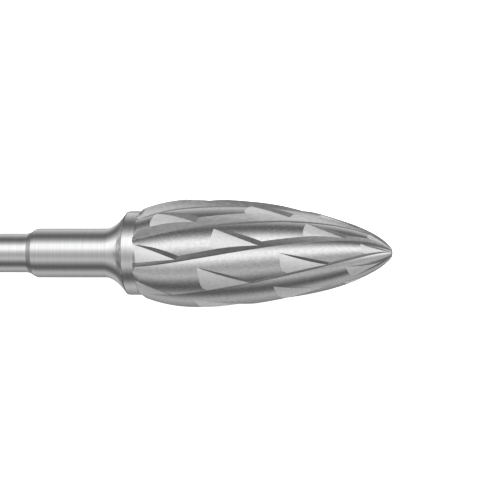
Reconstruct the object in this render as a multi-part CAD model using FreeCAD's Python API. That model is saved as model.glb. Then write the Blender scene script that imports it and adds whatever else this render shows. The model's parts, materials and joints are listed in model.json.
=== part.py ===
import FreeCAD, Part
import math
import os

# A tungsten carbide burr for a handpiece: a turned steel shank, a braze seam and a sintered carbide head
# with eight helical teeth, each broken by cross-cuts of the opposite hand.
# Lengths are millimetres and angles are degrees. Stations run along the tool's own axis, from the shank's
# end at 0 to the nose. Angles about the axis are counted from -Y up towards +Z.

# Shank, neck and flare
shank_diameter = 2.35
shank_length = 22.05
shank_end_chamfer = 0.25
step_length = 0.86
neck_diameter = 2.95
neck_length = 4.10
flare_length = 1.39
flare_mouth_diameter = 4.98
flare_neck_pull = 0.37
flare_mouth_pull = 0.74
flare_mouth_angle = 53.0

# Braze seam
braze_thickness = 0.06
braze_recess = 0.02

# Head
collar_diameter = 5.02
collar_width = 0.76
collar_bevel = 0.04
head_diameter = 6.48
head_length = 15.28
head_back_diameter = 5.32
widest_from_collar = 3.20
nose_flat_radius = 0.24
nose_fullness = 1.24
tooth_back_bevel = 45.0

# Teeth: the gap angles lead from one edge to the next about the axis, and the last one closes the circle
tooth_gap_angles = (40.6, 37.4, 47.3, 47.3, 47.3, 47.3, 47.3)
tooth_helix_angle = 10.4
gullet_depth = 0.32
rake_width = 7.0
back_crown_drop = 0.14
tooth_start_angle = -13.6

# Cross-cuts: their gap angles about the axis, as for the teeth
cut_gap_angles = (59.2, 50.8, 50.8, 50.8, 50.8, 50.9)
cut_depth = 0.20
cut_width = 33.0
cut_crown_drop = 0.06
cut_end_lift = 0.05
cut_lead = 52.0
cut_wall_angle = 60.0
cut_start_angle = 62.8
cut_clearance = 0.10
cut_run_out_radius = 0.5
cut_run_out_lift = 1.2

# Rest: the angle about the axis that faces about upwards, and the step of the search beside it
rest_view_angle = 69.0
rest_search_step = 0.5

# Stations along the axis
step_start = shank_length
neck_start = step_start + step_length
flare_start = neck_start + neck_length
seam_start = flare_start + flare_length
collar_start = seam_start + braze_thickness
teeth_start = collar_start + collar_width
widest = teeth_start + widest_from_collar
nose = teeth_start + head_length

head_radius = head_diameter / 2
back_drop = (head_diameter - head_back_diameter) / 2
back_arc_radius = (widest_from_collar**2 + back_drop**2) / (2 * back_drop)
nose_sweep = math.degrees(math.acos((nose_flat_radius / head_radius) ** (1 / nose_fullness)))
front_length = (nose - widest) / math.sin(math.radians(nose_sweep))


def spot(x, radius, angle):
    """The point at one station, distance from the axis and angle about it."""
    a = math.radians(angle)
    return FreeCAD.Vector(x, -radius * math.cos(a), radius * math.sin(a))


def bow(start, middle, end):
    """A shallow curve between two points through a third, by one parabola."""
    curve = Part.BezierCurve()
    curve.setPoles([start, middle * 2 - (start + end) * 0.5, end])
    return curve.toShape()


def front_radius(sweep):
    """Radius of the flame shape: sweep runs from 0 at the widest station, and 90 would end in a point."""
    return head_radius * math.cos(math.radians(sweep)) ** nose_fullness


def back_radius(x):
    """Radius of the barrel shape between the collar and the widest station, an arc."""
    return head_radius - back_arc_radius + math.sqrt(back_arc_radius**2 - (widest - x) ** 2)


def head_stations(back_steps=3, front_steps=6):
    """Pairs of station and envelope radius, from inside the collar to the nose, closer together there."""
    root = collar_start + collar_width / 2
    pairs = [(root, back_radius(root))]
    for i in range(back_steps):
        x = teeth_start + widest_from_collar * i / back_steps
        pairs.append((x, back_radius(x)))
    for i in range(front_steps + 1):
        sweep = nose_sweep * i / front_steps
        x = widest + front_length * math.sin(math.radians(sweep))
        pairs.append((x, front_radius(sweep)))
    return pairs


def helix_turns(pairs):
    """Turn of the teeth at each station: the helix angle is the same everywhere on the envelope."""
    slope = math.tan(math.radians(tooth_helix_angle))
    turns = [0]
    for (x0, r0), (x1, r1) in zip(pairs, pairs[1:]):
        turns.append(turns[-1] + math.degrees(slope * (x1 - x0) * 2 / (r0 + r1)))
    start = tooth_start_angle - turns[1]
    return [start + turn for turn in turns]


def tooth_ring(x, radius, turn):
    """Closed section of all the teeth: convex backs that rise to the edges, and short rake faces."""
    scale = radius / head_radius
    gullet = radius - gullet_depth * scale
    crown = radius - back_crown_drop * scale
    edges = []
    edge_angle = turn
    for gap in tooth_gap_angles + (360 - sum(tooth_gap_angles),):
        gullet_angle = edge_angle + gap - rake_width
        edge = spot(x, radius, edge_angle)
        middle = spot(x, crown, (edge_angle + gullet_angle) / 2)
        foot = spot(x, gullet, gullet_angle)
        edge_angle += gap
        edges.append(bow(edge, middle, foot))
        edges.append(Part.LineSegment(foot, spot(x, radius, edge_angle)).toShape())
    return Part.Wire(edges)


def fluted_flame():
    """The toothed flame shape, with the backs of the teeth bevelled down to the collar."""
    pairs = head_stations()
    turns = helix_turns(pairs)
    rings = [tooth_ring(x, radius, turn) for (x, radius), turn in zip(pairs, turns)]
    flame = Part.makeLoft(rings, True, False)
    bevel_length = head_diameter
    mouth = collar_diameter / 2 + bevel_length * math.tan(math.radians(tooth_back_bevel))
    bevel = Part.makeCone(
        collar_diameter / 2, mouth, bevel_length, FreeCAD.Vector(teeth_start, 0, 0), FreeCAD.Vector(1, 0, 0)
    )
    front = Part.makeCylinder(
        mouth, head_length, FreeCAD.Vector(teeth_start + bevel_length, 0, 0), FreeCAD.Vector(1, 0, 0)
    )
    return flame.common(bevel.fuse(front))


def cut_section(x, radius, angle):
    """Section of one cross-cut: a convex floor like a tooth's back, and a sloping wall beside its foot."""
    scale = radius / head_radius
    top = radius + cut_clearance * scale
    far = angle - cut_width
    wall_reach = (cut_depth + cut_clearance) * math.tan(math.radians(cut_wall_angle)) / head_radius
    foot = spot(x, radius - cut_depth * scale, angle)
    middle = spot(x, radius - cut_crown_drop * scale, angle - cut_width / 2)
    end = spot(x, radius + cut_end_lift * scale, far)
    top_end = spot(x, top, far)
    top_middle = spot(x, top, angle - cut_width / 2)
    wall_top = spot(x, top, angle + math.degrees(wall_reach))
    return Part.Wire([
        bow(foot, middle, end),
        Part.LineSegment(end, top_end).toShape(),
        bow(top_end, top_middle, wall_top),
        Part.LineSegment(wall_top, foot).toShape(),
    ])


def cross_cut(start_angle):
    """The solid that one cross-cut removes, from before the collar until it runs out near the nose."""
    pairs = head_stations()
    first_x, first_radius = pairs[0]
    kept = [(x, radius) for x, radius in pairs if radius > cut_run_out_radius]
    clear_radius = cut_run_out_radius * cut_run_out_lift
    pairs = [(first_x - collar_width, first_radius)] + kept + [(nose, clear_radius)]
    sections = []
    for x, radius in pairs:
        sections.append(cut_section(x, radius, start_angle - 360 * (x - teeth_start) / cut_lead))
    return Part.makeLoft(sections, True, False)


def collar():
    """The plain band behind the teeth, with a fine bevel on the rim beside the seam."""
    band = Part.makeCylinder(
        collar_diameter / 2, collar_width, FreeCAD.Vector(collar_start, 0, 0), FreeCAD.Vector(1, 0, 0)
    )
    rim = [e for e in band.Edges if len(e.Vertexes) == 1 and abs(e.CenterOfMass.x - collar_start) < 1e-6]
    return band.makeChamfer(collar_bevel, rim)


def carbide_head():
    """Collar and teeth, which are one sintered and ground piece."""
    starts = [cut_start_angle + sum(cut_gap_angles[:i]) for i in range(len(cut_gap_angles) + 1)]
    pieces = fluted_flame().cut([cross_cut(angle) for angle in starts])
    teeth = max(pieces.Solids, key=lambda solid: solid.Volume)
    return collar().fuse(teeth).removeSplitter()


def ogee(x0, r0, x1, r1):
    """Two equal tangent arcs that lead from one diameter to the next, level at both ends."""
    length = x1 - x0
    rise = r1 - r0
    arc_radius = (length**2 + rise**2) / (4 * rise)
    half_turn = math.asin(length / 2 / arc_radius) / 2
    out = arc_radius * math.sin(half_turn)
    lift = arc_radius * (1 - math.cos(half_turn))
    middle = FreeCAD.Vector((x0 + x1) / 2, 0, (r0 + r1) / 2)
    first = Part.Arc(FreeCAD.Vector(x0, 0, r0), FreeCAD.Vector(x0 + out, 0, r0 + lift), middle)
    second = Part.Arc(middle, FreeCAD.Vector(x1 - out, 0, r1 - lift), FreeCAD.Vector(x1, 0, r1))
    return [first.toShape(), second.toShape()]


def flare():
    """The trumpet-shaped end of the neck, level where it starts and steep at the seam."""
    neck = neck_diameter / 2
    mouth = flare_mouth_diameter / 2
    steep = math.radians(flare_mouth_angle)
    curve = Part.BezierCurve()
    curve.setPoles([
        FreeCAD.Vector(flare_start, 0, neck),
        FreeCAD.Vector(flare_start + flare_neck_pull, 0, neck),
        FreeCAD.Vector(
            seam_start - flare_mouth_pull * math.cos(steep), 0, mouth - flare_mouth_pull * math.sin(steep)
        ),
        FreeCAD.Vector(seam_start, 0, mouth),
    ])
    return curve.toShape()


def line(x0, r0, x1, r1):
    """A straight piece of a turned outline."""
    return Part.LineSegment(FreeCAD.Vector(x0, 0, r0), FreeCAD.Vector(x1, 0, r1)).toShape()


def steel_shank():
    """The turned steel piece: chamfered end, gripping length, step, neck and flare."""
    grip = shank_diameter / 2
    neck = neck_diameter / 2
    outline = [
        line(0, 0, 0, grip - shank_end_chamfer),
        line(0, grip - shank_end_chamfer, shank_end_chamfer, grip),
        line(shank_end_chamfer, grip, step_start, grip),
    ]
    outline += ogee(step_start, grip, neck_start, neck)
    outline.append(line(neck_start, neck, flare_start, neck))
    outline.append(flare())
    outline.append(line(seam_start, flare_mouth_diameter / 2, seam_start, 0))
    outline.append(line(seam_start, 0, 0, 0))
    face = Part.Face(Part.Wire(outline))
    return face.revolve(FreeCAD.Vector(0, 0, 0), FreeCAD.Vector(1, 0, 0), 360)


def braze_seam():
    """The thin disc of filler metal between the flare and the collar, a little below their rims."""
    radius = min(flare_mouth_diameter, collar_diameter) / 2 - braze_recess
    return Part.makeCylinder(
        radius, braze_thickness, FreeCAD.Vector(seam_start, 0, 0), FreeCAD.Vector(1, 0, 0)
    )


def rest_slope(points, roll):
    """Slope of the axis when the tool lies on its shank's end and on the head, rolled to one angle."""
    down = spot(0, 1, -90 - roll)
    grip = shank_diameter / 2
    return max((p.dot(down) - grip) / (p.x - shank_end_chamfer) for p in points)


def rest_placement(head):
    """Lays the tool on its shank's end and two neighbouring teeth: the roll with the least slope."""
    points = head.tessellate(0.01)[0]
    half_pitch = max(tooth_gap_angles) / 2
    steps = int(half_pitch / rest_search_step)
    rolls = [rest_view_angle + i * rest_search_step for i in range(-steps, steps + 1)]
    roll = min(rolls, key=lambda angle: rest_slope(points, angle))
    tilt = math.degrees(math.atan(rest_slope(points, roll)))
    print("rest roll", roll, "tilt", round(tilt, 4))
    about_axis = FreeCAD.Rotation(FreeCAD.Vector(1, 0, 0), -roll)
    turn = FreeCAD.Rotation(FreeCAD.Vector(0, 1, 0), -tilt) * about_axis
    return FreeCAD.Placement(FreeCAD.Vector(0, 0, 0), turn)


def main():
    os.makedirs("parts", exist_ok=True)
    solids = {"steel_shank": steel_shank(), "braze_seam": braze_seam(), "carbide_head": carbide_head()}
    placement = rest_placement(solids["carbide_head"])
    for shape in solids.values():
        shape.Placement = placement
    box = Part.makeCompound(list(solids.values())).optimalBoundingBox(False, False)
    to_floor = FreeCAD.Vector(-box.Center.x, -box.Center.y, -box.ZMin)
    for name, shape in solids.items():
        shape.translate(to_floor)
        print(name, len(shape.Solids), "volume", round(shape.Volume, 3), "valid", shape.isValid())
        shape.exportStep("parts/" + name + ".step")


main()
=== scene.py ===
import json
import math

import bpy
import numpy as np
from mathutils import Matrix, Vector


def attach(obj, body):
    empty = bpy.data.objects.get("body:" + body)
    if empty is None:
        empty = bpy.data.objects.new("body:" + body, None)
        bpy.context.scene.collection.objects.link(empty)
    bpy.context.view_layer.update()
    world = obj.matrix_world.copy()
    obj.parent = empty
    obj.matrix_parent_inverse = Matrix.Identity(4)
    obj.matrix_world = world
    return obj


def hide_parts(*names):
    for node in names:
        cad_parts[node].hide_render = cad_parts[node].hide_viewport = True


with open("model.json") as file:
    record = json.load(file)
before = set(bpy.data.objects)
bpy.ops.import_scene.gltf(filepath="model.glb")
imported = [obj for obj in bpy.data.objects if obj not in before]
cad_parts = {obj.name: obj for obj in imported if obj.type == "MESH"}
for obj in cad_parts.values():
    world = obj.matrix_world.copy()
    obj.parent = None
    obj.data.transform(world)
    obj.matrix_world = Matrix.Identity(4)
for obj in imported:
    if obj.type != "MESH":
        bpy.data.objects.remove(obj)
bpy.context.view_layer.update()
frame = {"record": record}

MM = 0.001

# Shank, neck and flare, in metres
SHANK_RADIUS = 1.175 * MM
SHANK_LENGTH = 22.05 * MM
SHANK_CHAMFER = 0.25 * MM
STEP_LENGTH = 0.86 * MM
NECK_RADIUS = 1.475 * MM
NECK_LENGTH = 4.10 * MM
FLARE_LENGTH = 1.39 * MM
FLARE_MOUTH_RADIUS = 2.49 * MM
FLARE_NECK_PULL = 0.37 * MM
FLARE_MOUTH_PULL = 0.74 * MM
FLARE_MOUTH_ANGLE = math.radians(53)

# Seam and collar
BRAZE_THICKNESS = 0.06 * MM
BRAZE_RECESS = 0.02 * MM
COLLAR_RADIUS = 2.51 * MM
COLLAR_WIDTH = 0.76 * MM
COLLAR_BEVEL = 0.04 * MM

# Head
HEAD_RADIUS = 3.24 * MM
HEAD_LENGTH = 15.28 * MM
HEAD_BACK_RADIUS = 2.66 * MM
WIDEST_FROM_COLLAR = 3.20 * MM
NOSE_FLAT_RADIUS = 0.24 * MM
NOSE_FULLNESS = 1.24

# Teeth: angles in radians, counted about the axis from the side up
TOOTH_GAPS = np.radians([40.6, 37.4, 47.3, 47.3, 47.3, 47.3, 47.3])
TOOTH_START = math.radians(-13.6)
HELIX_SLOPE = math.tan(math.radians(10.4))
GULLET_DEPTH = 0.34 * MM
RAKE_WIDTH = math.radians(7.0)
BACK_ROUNDING = 2.2

# Cross-cuts: the floor starts a little outside the cutting circle, and the cutter's body stands clear
# of it. They reach almost to the nose and turn a little further there than their lead says.
CUT_GAPS = np.radians([58.2, 48.0, 50.0, 50.0, 50.0, 52.0])
CUT_START = math.radians(63.3)
CUT_LEAD = 52.0 * MM
CUT_NOSE_TURN = math.radians(6.0)
CUT_DEPTH = 0.175 * MM
CUT_WIDTH = math.radians(27.5)
CUT_WALL_SLOPE = math.tan(math.radians(63.0))
CUT_END_LIFT = 0.00324 * MM
CUT_CLEARANCE = 0.10 * MM
CUT_REACH = 0.995

# How the tool is rolled about its axis at rest
REST_ROLL = math.radians(74.0)

# Stations along the axis
STEP_START = SHANK_LENGTH
NECK_START = STEP_START + STEP_LENGTH
FLARE_START = NECK_START + NECK_LENGTH
SEAM_START = FLARE_START + FLARE_LENGTH
COLLAR_START = SEAM_START + BRAZE_THICKNESS
TEETH_START = COLLAR_START + COLLAR_WIDTH
WIDEST = TEETH_START + WIDEST_FROM_COLLAR
NOSE = TEETH_START + HEAD_LENGTH
NOSE_SWEEP = math.acos((NOSE_FLAT_RADIUS / HEAD_RADIUS) ** (1 / NOSE_FULLNESS))
FRONT_LENGTH = (NOSE - WIDEST) / math.sin(NOSE_SWEEP)

# How finely the pieces are drawn: columns go round the axis, rows and points along it
TURNED_COLUMNS = 256
ARC_POINTS = 12
FLARE_STRETCHES = 32
BACK_ROWS = 14
FRONT_ROWS = 90
BACK_COLUMNS = 20
RAKE_COLUMNS = 3
CUT_ROWS = 70
FLOOR_COLUMNS = 24
WALL_COLUMNS = 3
ROOF_COLUMNS = 8
SHARP_ANGLE = math.radians(15)

# Finishes of the shank by number, and the stretches of the step and the flare that are rougher and darker
# than the polish; on the flare's steep mouth the darker grey is painted shade
POLISHED, RING, STEEP = range(3)
RING_FROM = 6
RING_STRETCHES = 10
STEEP_FROM = 25

# Finishes of the head by number; the rakes are rougher and painted darker as shade, and the cut walls are
# painted dark as shade
COLLAR, BACK, RAKE, FLOOR, WALL = range(5)

# Machining marks: the part of the noise that is used for gloss and for colour, and a faint blue tinge
NOISE_DETAIL = 3.0
GLOSS_FROM, GLOSS_TO = 0.3, 0.7
COLOUR_FROM, COLOUR_TO = 0.32, 0.68
BLUE_SHARE = 1.005

# Camera: it looks at the burr from slightly towards the nose, with the tool level in the picture
CAMERA_TOWARDS_NOSE = math.radians(13.6)
CAMERA_DISTANCE = 0.5
CAMERA_SENSOR = 36
TARGET_BEHIND_NOSE = 8.7 * MM
PIXELS_PER_METRE = 16770.0
PICTURE = 500
NOSE_PIXEL = 391.3
AXIS_PIXEL = 252.9

# Main light: its angle from the camera's side up, its slide along the axis, its size and its power
LIGHT_ANGLE = math.radians(58)
LIGHT_SLIDE = -0.1
LIGHT_DISTANCE = 0.4
LIGHT_WIDTH = 0.3
LIGHT_LENGTH = 0.5
LIGHT_POWER = 2

FLOOR_HALF = 0.6

# The studio round the tool: how bright it looks in a polished surface that faces each angle, in degrees,
# from straight down through the camera's side to straight up
STUDIO = (
    (-90, 0.25), (-75, 0.33), (-63, 0.50), (-55, 0.66), (-48, 0.54), (-42, 0.27), (-37, 0.16),
    (-31, 0.18), (-24, 0.42), (-19, 0.68), (-14, 0.72), (-9, 0.59), (-4, 0.58), (1, 0.76), (6, 1.08),
    (11, 1.5), (20, 1.5), (26, 0.90), (31, 0.52), (36, 0.28), (42, 0.18), (48, 0.23), (54, 0.44),
    (61, 0.64), (68, 0.85), (77, 0.40), (90, 0.24),
)
STUDIO_PEAK = 1.5


def tool_placement():
    """The matrix from the tool's own axis frame to the frame of the row, from the shank's mount.

    The mount lies in the middle of the grip and points to the shank's end.
    """
    mount = frame["record"]["mounts"][0]
    axis = -Vector(mount["axis"]).normalized()
    middle_of_grip = (SHANK_CHAMFER + SHANK_LENGTH) / 2
    shank_end = Vector(mount["pos_m"]) - axis * middle_of_grip
    tilt = math.atan2(axis.z, axis.x)
    turn = Matrix.Rotation(-tilt, 4, "Y") @ Matrix.Rotation(-REST_ROLL, 4, "X")
    return Matrix.Translation(shank_end) @ turn


PLACE = tool_placement()


def to_row(points):
    """Moves an array of points from the tool's axis frame to the row's frame."""
    turn = np.array(PLACE.to_3x3())
    return points @ turn.T + np.array(PLACE.translation)


def around(x, radius, angle):
    """Points at stations, distances from the axis and angles about it, as one array."""
    x, radius, angle = np.broadcast_arrays(x, radius, angle)
    return np.stack([x, -radius * np.cos(angle), radius * np.sin(angle)], axis=-1)


def ring_mesh(name, points, back_pole, front_pole, face_kinds=None):
    """A closed mesh from rings of points along the axis, with a fan to a pole at each end.

    The back fan has finish 0, and the front fan has the highest finish of the last ring.
    """
    rows, columns = points.shape[:2]
    row = np.arange(rows - 1)[:, None]
    column = np.arange(columns)[None, :]
    after = (column + 1) % columns
    quads = np.stack([
        row * columns + column, (row + 1) * columns + column,
        (row + 1) * columns + after, row * columns + after,
    ], axis=-1).reshape(-1, 4)
    ring = np.arange(columns)
    following = (ring + 1) % columns
    back_index = rows * columns
    last = (rows - 1) * columns
    back_fan = np.stack([np.full(columns, back_index), ring, following], axis=-1)
    front_fan = np.stack([np.full(columns, back_index + 1), last + following, last + ring], axis=-1)
    vertices = np.concatenate([points.reshape(-1, 3), [back_pole], [front_pole]])
    mesh = bpy.data.meshes.new(name)
    faces = quads.tolist() + back_fan.tolist() + front_fan.tolist()
    mesh.from_pydata(to_row(vertices).tolist(), [], faces)
    mesh.polygons.foreach_set("use_smooth", np.ones(len(faces), dtype=bool))
    if face_kinds is not None:
        kinds = np.zeros(len(faces), dtype=np.int32)
        kinds[: len(quads)] = face_kinds.reshape(-1)
        kinds[len(quads) + columns:] = face_kinds[-1].max()
        mesh.polygons.foreach_set("material_index", kinds)
    mesh.set_sharp_from_angle(angle=SHARP_ANGLE)
    mesh.update()
    piece = bpy.data.objects.new(name, mesh)
    bpy.context.scene.collection.objects.link(piece)
    return piece


def lathe(name, outline, finishes=None):
    """A turned piece: an outline of stations and radii carried round the axis, a finish per stretch."""
    x, radius = np.array(outline).T
    angle = np.arange(TURNED_COLUMNS) * 2 * math.pi / TURNED_COLUMNS
    points = around(x[:, None], radius[:, None], angle[None, :])
    kinds = None
    if finishes is not None:
        kinds = np.repeat(finishes[:, None], TURNED_COLUMNS, axis=1)
    return ring_mesh(name, points, (x[0], 0, 0), (x[-1], 0, 0), kinds)


def ogee(x0, r0, x1, r1):
    """Two equal tangent arcs between two radii, level at both ends, without the first point.

    Their radius is the square of the chord over four times the rise.
    """
    length = x1 - x0
    rise = r1 - r0
    arc_radius = (length**2 + rise**2) / (4 * rise)
    turn = math.asin(length / 2 / arc_radius) * np.arange(1, ARC_POINTS + 1) / ARC_POINTS
    first = [(x0 + arc_radius * math.sin(a), r0 + arc_radius * (1 - math.cos(a))) for a in turn]
    second = [(x1 - arc_radius * math.sin(a), r1 - arc_radius * (1 - math.cos(a))) for a in turn[-2::-1]]
    return first + second + [(x1, r1)]


def flare():
    """The trumpet-shaped flare: a cubic curve of four poles, level at the neck and steep at the mouth."""
    steep = FLARE_MOUTH_ANGLE
    pull = FLARE_MOUTH_PULL
    poles = np.array([
        (FLARE_START, NECK_RADIUS),
        (FLARE_START + FLARE_NECK_PULL, NECK_RADIUS),
        (SEAM_START - pull * math.cos(steep), FLARE_MOUTH_RADIUS - pull * math.sin(steep)),
        (SEAM_START, FLARE_MOUTH_RADIUS),
    ])
    t = np.linspace(0, 1, FLARE_STRETCHES + 1)[:, None]
    s = 1 - t
    curve = s**3 * poles[0] + 3 * s**2 * t * poles[1] + 3 * s * t**2 * poles[2] + t**3 * poles[3]
    return curve.tolist()


def build_shank():
    """The turned steel piece: polished, with a darker, rougher ring on the step and a rougher mouth of
    the flare whose darker grey is painted shade.
    """
    grip = [(0, SHANK_RADIUS - SHANK_CHAMFER), (SHANK_CHAMFER, SHANK_RADIUS), (STEP_START, SHANK_RADIUS)]
    step = ogee(STEP_START, SHANK_RADIUS, NECK_START, NECK_RADIUS)
    outline = grip + step + flare()
    finishes = np.full(len(outline) - 1, POLISHED)
    ring = len(grip) - 1 + RING_FROM
    finishes[ring:ring + RING_STRETCHES] = RING
    # the flare's steep mouth: rougher, and painted darker as shade
    finishes[len(grip) + len(step) + STEEP_FROM:] = STEEP
    return lathe("shank", outline, finishes)


def build_seam():
    """The braze between flare and collar: a thin disc that lies back from their rims."""
    radius = FLARE_MOUTH_RADIUS - BRAZE_RECESS
    return lathe("seam", [(SEAM_START, radius), (COLLAR_START, radius)])


def envelope(x):
    """Radius over the cutting edges: an arc behind the widest station and a flame shape before it.

    The flame shape is the height of a quarter circle, raised to the nose's fullness.
    """
    drop = HEAD_RADIUS - HEAD_BACK_RADIUS
    arc_radius = (WIDEST_FROM_COLLAR**2 + drop**2) / (2 * drop)
    behind = np.clip(WIDEST - x, 0, WIDEST_FROM_COLLAR)
    back = HEAD_RADIUS - arc_radius + np.sqrt(arc_radius**2 - behind**2)
    share = np.clip((x - WIDEST) / FRONT_LENGTH, 0, 1)
    front = HEAD_RADIUS * (1 - share**2) ** (NOSE_FULLNESS / 2)
    return np.where(x < WIDEST, back, front)


def head_rows():
    """Stations from the teeth's back to the nose: even behind, then by a sine, so closer at the nose."""
    back = TEETH_START + WIDEST_FROM_COLLAR * np.arange(BACK_ROWS) / BACK_ROWS
    front = WIDEST + FRONT_LENGTH * np.sin(np.linspace(0, NOSE_SWEEP, FRONT_ROWS))
    return np.concatenate([back, front])


def teeth_turn(x, radius):
    """Turn of the teeth at each station: the helix slope over the radius, summed along the axis."""
    slope = HELIX_SLOPE / radius
    steps = (slope[1:] + slope[:-1]) / 2 * np.diff(x)
    return TOOTH_START + np.concatenate([[0], np.cumsum(steps)])


def tooth_profile(gap):
    """One tooth at unit radius: its back from the edge down to the gullet, then the straight rake face.

    The back lies under the cutting circle by the gullet's depth times a power of the way to the gullet.
    """
    gullet_angle = gap - RAKE_WIDTH
    depth = GULLET_DEPTH / HEAD_RADIUS
    share = np.arange(BACK_COLUMNS) / BACK_COLUMNS
    back = np.stack([1 - depth * share**BACK_ROUNDING, gullet_angle * share])
    step = np.arange(RAKE_COLUMNS) / RAKE_COLUMNS
    rake = np.stack([1 - depth * (1 - step), gullet_angle + RAKE_WIDTH * step])
    return np.concatenate([back, rake], axis=1), np.array([BACK] * BACK_COLUMNS + [RAKE] * RAKE_COLUMNS)


def teeth_section():
    """Radius, angle and finish of every column of the head's unit section, tooth after tooth."""
    gaps = np.append(TOOTH_GAPS, 2 * math.pi - TOOTH_GAPS.sum())
    starts = np.concatenate([[0], np.cumsum(gaps)[:-1]])
    teeth = [tooth_profile(gap) for gap in gaps]
    radius = np.concatenate([points[0] for points, kind in teeth])
    angle = np.concatenate([points[1] + start for (points, kind), start in zip(teeth, starts)])
    return radius, angle, np.concatenate([kind for points, kind in teeth])


def build_teeth():
    """The collar and the fluted flame shape, before the cross-cuts.

    The section grows with the envelope, but behind it stays inside a bevel of 45 degrees from the collar.
    """
    x = head_rows()
    radius = envelope(x)
    turn = teeth_turn(x, radius)
    column_radius, angle, column_kind = teeth_section()
    grid_radius = np.minimum(column_radius * radius[:, None], COLLAR_RADIUS + x[:, None] - TEETH_START)
    collar = np.array([
        (COLLAR_START, COLLAR_RADIUS - COLLAR_BEVEL),
        (COLLAR_START + COLLAR_BEVEL, COLLAR_RADIUS),
        (TEETH_START - COLLAR_BEVEL, COLLAR_RADIUS),
    ])
    points = np.concatenate([
        around(collar[:, :1], collar[:, 1:], angle + turn[0]),
        around(x[:, None], grid_radius, angle + turn[:, None]),
    ])
    kinds = np.full((len(points) - 1, len(angle)), COLLAR)
    kinds[len(collar):] = column_kind
    return ring_mesh("head", points, (COLLAR_START, 0, 0), (NOSE, 0, 0), kinds)


def cut_section():
    """Closed unit section of one cross-cut: a floor curved as a tooth's back, a wall and a roof outside.

    The radius of the floor falls from the cutting circle to the foot by the same power as the back.
    """
    lift = CUT_END_LIFT / HEAD_RADIUS
    depth = CUT_DEPTH / HEAD_RADIUS
    foot = 1 - depth
    roof = 1 + CUT_CLEARANCE / HEAD_RADIUS
    wall_top = (roof - foot) * CUT_WALL_SLOPE
    share = np.arange(FLOOR_COLUMNS) / FLOOR_COLUMNS
    floor = np.stack([1 + lift - (depth + lift) * share**BACK_ROUNDING, CUT_WIDTH * (share - 1)])
    wall_radius = foot + (roof - foot) * np.arange(WALL_COLUMNS) / WALL_COLUMNS
    wall = np.stack([wall_radius, (wall_radius - foot) * CUT_WALL_SLOPE])
    turn_back = np.arange(ROOF_COLUMNS) / (ROOF_COLUMNS - 1)
    cover = np.stack([np.full(ROOF_COLUMNS, roof), wall_top - (CUT_WIDTH + wall_top) * turn_back])
    radius, angle = np.concatenate([floor, wall, cover], axis=1)
    kind = np.array([FLOOR] * FLOOR_COLUMNS + [WALL] * (WALL_COLUMNS + ROOF_COLUMNS))
    return radius[::-1], angle[::-1], np.roll(kind[::-1], -1)


def build_cut(start_angle):
    """The body that one cross-cut removes: its section carried along a helix of the opposite hand.

    Towards the nose it turns faster, by the fourth power of its way along the head.
    """
    share = np.linspace(0, 1, CUT_ROWS)
    along = HEAD_LENGTH * CUT_REACH * np.sin(share * math.pi / 2)
    x = TEETH_START + along
    radius = envelope(x)
    section_radius, section_angle, kind = cut_section()
    turn = start_angle - 2 * math.pi * along / CUT_LEAD - CUT_NOSE_TURN * (along / HEAD_LENGTH) ** 4
    points = around(x[:, None], section_radius * radius[:, None], section_angle + turn[:, None])
    kinds = np.broadcast_to(kind, (CUT_ROWS - 1, len(kind)))
    middle = around(x, section_radius.mean() * radius, turn - CUT_WIDTH / 3)
    return ring_mesh("cut", points, middle[0], middle[-1], kinds)


def part_finishes(mesh):
    """Makes an edge sharp where the lowest and the highest finish of its faces differ."""
    loops = len(mesh.loops)
    edge = np.zeros(loops, dtype=np.int32)
    mesh.loops.foreach_get("edge_index", edge)
    sizes = np.zeros(len(mesh.polygons), dtype=np.int32)
    mesh.polygons.foreach_get("loop_total", sizes)
    kind = np.zeros(len(mesh.polygons), dtype=np.int32)
    mesh.polygons.foreach_get("material_index", kind)
    loop_kind = np.repeat(kind, sizes)
    low = np.full(len(mesh.edges), WALL)
    high = np.full(len(mesh.edges), COLLAR)
    np.minimum.at(low, edge, loop_kind)
    np.maximum.at(high, edge, loop_kind)
    sharp = np.zeros(len(mesh.edges), dtype=bool)
    mesh.edges.foreach_get("use_edge_sharp", sharp)
    mesh.edges.foreach_set("use_edge_sharp", sharp | (low != high))
    mesh.update()


def build_head(finishes):
    """The carbide head: the toothed shape less its cross-cuts, with a finish for each kind of face."""
    head = build_teeth()
    cuts = [build_cut(angle) for angle in CUT_START + np.concatenate([[0], np.cumsum(CUT_GAPS)])]
    for piece in [head] + cuts:
        for finish in finishes:
            piece.data.materials.append(finish)
    wheel = bpy.data.collections.new("cuts")
    for cut in cuts:
        wheel.objects.link(cut)
    grinding = head.modifiers.new("cross-cuts", "BOOLEAN")
    grinding.operation = "DIFFERENCE"
    grinding.solver = "EXACT"
    grinding.operand_type = "COLLECTION"
    grinding.collection = wheel
    bpy.context.view_layer.update()
    bpy.context.view_layer.objects.active = head
    bpy.ops.object.modifier_apply(modifier=grinding.name)
    for cut in cuts:
        bpy.data.objects.remove(cut)
    bpy.data.collections.remove(wheel)
    mesh = head.data
    mesh.set_sharp_from_angle(angle=SHARP_ANGLE)
    part_finishes(mesh)
    return head


def shader(name, grey, metallic, roughness):
    """A new grey material with its main shader set."""
    material = bpy.data.materials.new(name)
    material.use_nodes = True
    principled = material.node_tree.nodes["Principled BSDF"]
    principled.inputs["Base Color"].default_value = (grey, grey, grey, 1)
    principled.inputs["Metallic"].default_value = metallic
    principled.inputs["Roughness"].default_value = roughness
    return material, principled


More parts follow.
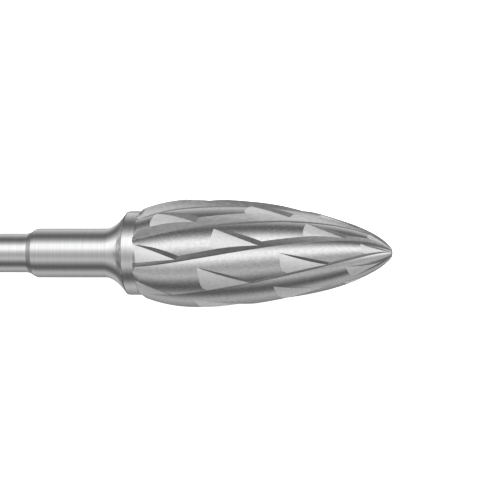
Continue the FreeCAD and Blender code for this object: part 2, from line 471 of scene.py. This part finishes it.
def marks(material, along, around_axis):
    """Machining marks: noise with its own fineness along the tool's axis and around it, per metre."""
    nodes = material.node_tree.nodes
    links = material.node_tree.links
    place = nodes.new("ShaderNodeTexCoord")
    level = nodes.new("ShaderNodeMapping")
    level.inputs["Rotation"].default_value = PLACE.to_3x3().inverted().to_euler("XYZ")
    stretch = nodes.new("ShaderNodeVectorMath")
    stretch.operation = "MULTIPLY"
    stretch.inputs[1].default_value = (along, around_axis, around_axis)
    noise = nodes.new("ShaderNodeTexNoise")
    noise.inputs["Scale"].default_value = 1.0
    noise.inputs["Detail"].default_value = NOISE_DETAIL
    links.new(place.outputs["Object"], level.inputs["Vector"])
    links.new(level.outputs["Vector"], stretch.inputs[0])
    links.new(stretch.outputs["Vector"], noise.inputs["Vector"])
    return noise.outputs["Fac"]


def spread(material, marked, socket, low, high):
    """Drives a number of the main shader from one value to another as the pattern rises."""
    nodes = material.node_tree.nodes
    links = material.node_tree.links
    scale = nodes.new("ShaderNodeMapRange")
    scale.inputs["From Min"].default_value = GLOSS_FROM
    scale.inputs["From Max"].default_value = GLOSS_TO
    scale.inputs["To Min"].default_value = low
    scale.inputs["To Max"].default_value = high
    links.new(marked, scale.inputs["Value"])
    links.new(scale.outputs[0], socket)


def tint(material, marked, socket, dark, light):
    """Drives the colour of the main shader from one grey to another as the pattern rises."""
    nodes = material.node_tree.nodes
    links = material.node_tree.links
    ramp = nodes.new("ShaderNodeValToRGB")
    for stop, where, grey in zip(ramp.color_ramp.elements, (COLOUR_FROM, COLOUR_TO), (dark, light)):
        stop.position = where
        stop.color = (grey, grey, grey * BLUE_SHARE, 1)
    links.new(marked, ramp.inputs["Fac"])
    links.new(ramp.outputs["Color"], socket)


def relief(material, marked, principled, depth):
    """Raises a pattern as fine relief, its depth in metres."""
    nodes = material.node_tree.nodes
    links = material.node_tree.links
    bump = nodes.new("ShaderNodeBump")
    bump.inputs["Strength"].default_value = 1.0
    bump.inputs["Distance"].default_value = depth
    links.new(marked, bump.inputs["Height"])
    links.new(bump.outputs["Normal"], principled.inputs["Normal"])


def machined(name, greys, roughness, fineness, depth, metallic=1.0):
    """A metal with machining marks in its colour, its gloss and its relief."""
    material, principled = shader(name, greys[0], metallic, roughness[0])
    marked = marks(material, *fineness)
    tint(material, marked, principled.inputs["Base Color"], *greys)
    spread(material, marked, principled.inputs["Roughness"], *roughness)
    relief(material, marked, principled, depth)
    return material


def build_materials():
    """Steel turned and polished, and carbide ground with wheels of several grits; the flare's mouth, the
    rakes and the cut walls are besides painted darker as shade.

    The ground cuts and gullets scatter a part of the light, so they are less than fully metallic.
    """
    polished = machined("polished steel", (0.60, 0.66), (0.08, 0.14), (9000, 300), 0.00015 * MM)
    # a darker and rougher ring on the step
    step = machined("darker step ring", (0.30, 0.38), (0.28, 0.36), (9000, 400), 0.0005 * MM)
    # the flare's mouth: a rougher turn, and its darker grey is painted shade
    shaded_flare = machined("rough flare with painted shade", (0.44, 0.52), (0.20, 0.28), (9000, 400), 0.0004 * MM)
    collar = machined("polished collar", (0.62, 0.70), (0.09, 0.15), (9000, 500), 0.0002 * MM)
    ground = machined("ground tooth back", (0.53, 0.62), (0.15, 0.22), (5000, 8000), 0.0006 * MM)
    # rake faces: a rougher grind, and their darker grey is painted shade
    rake = machined("ground rake with painted shade", (0.35, 0.45), (0.30, 0.40), (3000, 9000), 0.0012 * MM, 0.9)
    floor = machined("ground cut", (0.62, 0.71), (0.48, 0.58), (6000, 6000), 0.0018 * MM, 0.78)
    # cut walls: their dark grey is painted shade
    wall = machined("cut wall painted shade", (0.12, 0.17), (0.46, 0.56), (6000, 6000), 0.0012 * MM, 0.5)
    braze = machined("braze", (0.22, 0.60), (0.40, 0.55), (6000, 4500), 0.0030 * MM)
    return [polished, step, shaded_flare], [collar, ground, rake, floor, wall], braze


def build_floor():
    """A plain pale floor that gives off some light of its own and shows in no reflection."""
    half = FLOOR_HALF
    corners = [(-half, -half, 0), (half, -half, 0), (half, half, 0), (-half, half, 0)]
    mesh = bpy.data.meshes.new("floor")
    mesh.from_pydata(corners, [], [(0, 1, 2, 3)])
    floor = bpy.data.objects.new("floor", mesh)
    bpy.context.scene.collection.objects.link(floor)
    material, principled = shader("floor", 0.9, 0.0, 0.6)
    principled.inputs["Emission Color"].default_value = (1, 1, 1, 1)
    principled.inputs["Emission Strength"].default_value = 0.8
    mesh.materials.append(material)
    floor.visible_glossy = False


def look_from():
    """Direction from the tool to the camera, in the row's frame."""
    seen = Vector((math.sin(CAMERA_TOWARDS_NOSE), -math.cos(CAMERA_TOWARDS_NOSE), 0))
    return (PLACE.to_3x3() @ seen).normalized()


def build_camera():
    """A long lens at the photo's angle, aimed so that nose and axis fall where they do in the photo.

    Pixels over pixels per metre give the way from the nose to the point that it is aimed at.
    """
    toward = look_from()
    up = (PLACE.to_3x3() @ Vector((0, 0, 1))).normalized()
    right = up.cross(toward).normalized()
    nose = PLACE @ Vector((NOSE, 0, 0))
    across = (PICTURE / 2 - NOSE_PIXEL) / PIXELS_PER_METRE
    lift = (AXIS_PIXEL - PICTURE / 2) / PIXELS_PER_METRE
    depth = math.sin(CAMERA_TOWARDS_NOSE) * TARGET_BEHIND_NOSE
    target = nose + right * across + up * lift - toward * depth
    data = bpy.data.cameras.new("camera")
    data.sensor_width = CAMERA_SENSOR
    data.lens = CAMERA_SENSOR * CAMERA_DISTANCE / (PICTURE / PIXELS_PER_METRE)
    data.clip_start = 0.01
    data.clip_end = 10
    camera = bpy.data.objects.new("camera", data)
    basis = Matrix((right, up, toward)).transposed().to_4x4()
    camera.matrix_world = Matrix.Translation(target + toward * CAMERA_DISTANCE) @ basis
    bpy.context.scene.collection.objects.link(camera)
    bpy.context.scene.camera = camera
    return target


def build_main_light(target):
    """A long area light over the camera's side that shows in no reflection."""
    direction = Vector((LIGHT_SLIDE, -math.cos(LIGHT_ANGLE), math.sin(LIGHT_ANGLE))).normalized()
    direction = PLACE.to_3x3() @ direction
    axis = (PLACE.to_3x3() @ Vector((1, 0, 0))).normalized()
    side = direction.cross(axis).normalized()
    level = side.cross(direction).normalized()
    data = bpy.data.lights.new("main light", "AREA")
    data.shape = "RECTANGLE"
    data.size = LIGHT_LENGTH
    data.size_y = LIGHT_WIDTH
    data.energy = LIGHT_POWER
    light = bpy.data.objects.new("main light", data)
    basis = Matrix((level, direction.cross(level), direction)).transposed().to_4x4()
    light.matrix_world = Matrix.Translation(target + direction * LIGHT_DISTANCE) @ basis
    light.visible_glossy = False
    bpy.context.scene.collection.objects.link(light)


def build_studio():
    """Long soft panels beside the tool: a band for each way that a surface faces about the tool's axis.

    A polished surface faces halfway between the camera and what it mirrors, so the angle is that of the
    mirrored direction plus the camera's own, seen along the axis.
    """
    world = bpy.data.worlds.new("studio")
    world.use_nodes = True
    nodes = world.node_tree.nodes
    links = world.node_tree.links
    place = nodes.new("ShaderNodeTexCoord")
    parts = []
    for direction in (Vector((0, 0, 1)), Vector((0, -1, 0))):
        dot = nodes.new("ShaderNodeVectorMath")
        dot.operation = "DOT_PRODUCT"
        dot.inputs[1].default_value = PLACE.to_3x3() @ direction
        links.new(place.outputs["Generated"], dot.inputs[0])
        parts.append(dot.outputs["Value"])
    ahead = nodes.new("ShaderNodeMath")
    ahead.operation = "ADD"
    ahead.inputs[1].default_value = math.cos(CAMERA_TOWARDS_NOSE)
    links.new(parts[1], ahead.inputs[0])
    facing = nodes.new("ShaderNodeMath")
    facing.operation = "ARCTAN2"
    links.new(parts[0], facing.inputs[0])
    links.new(ahead.outputs[0], facing.inputs[1])
    share = nodes.new("ShaderNodeMapRange")
    share.inputs["From Min"].default_value = -math.pi / 2
    share.inputs["From Max"].default_value = math.pi / 2
    links.new(facing.outputs[0], share.inputs["Value"])
    ramp = nodes.new("ShaderNodeValToRGB")
    stops = ramp.color_ramp.elements
    while len(stops) > 1:
        stops.remove(stops[-1])
    for index, (degrees, bright) in enumerate(STUDIO):
        where = (degrees + 90) / 180
        stop = stops[0] if index == 0 else stops.new(where)
        stop.position = where
        level = bright / STUDIO_PEAK
        stop.color = (level, level, level, 1)
    links.new(share.outputs[0], ramp.inputs["Fac"])
    background = nodes["Background"]
    links.new(ramp.outputs["Color"], background.inputs["Color"])
    background.inputs["Strength"].default_value = STUDIO_PEAK
    bpy.context.scene.world = world


def main():
    """Builds the three pieces, hides the solids that they stand for, and sets up floor, camera and light.
    """
    shank_materials, head_materials, braze = build_materials()
    shank = build_shank()
    for material in shank_materials:
        shank.data.materials.append(material)
    seam = build_seam()
    seam.data.materials.append(braze)
    head = build_head(head_materials)
    for piece, node, slot in ((shank, "steel_shank", "steel"), (seam, "braze_seam", "braze"),
                              (head, "carbide_head", "carbide")):
        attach(piece, "root")
        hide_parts(node)
    build_floor()
    bpy.context.scene.view_settings.view_transform = "Standard"
    target = build_camera()
    build_main_light(target)
    build_studio()
    bpy.context.view_layer.update()


main()
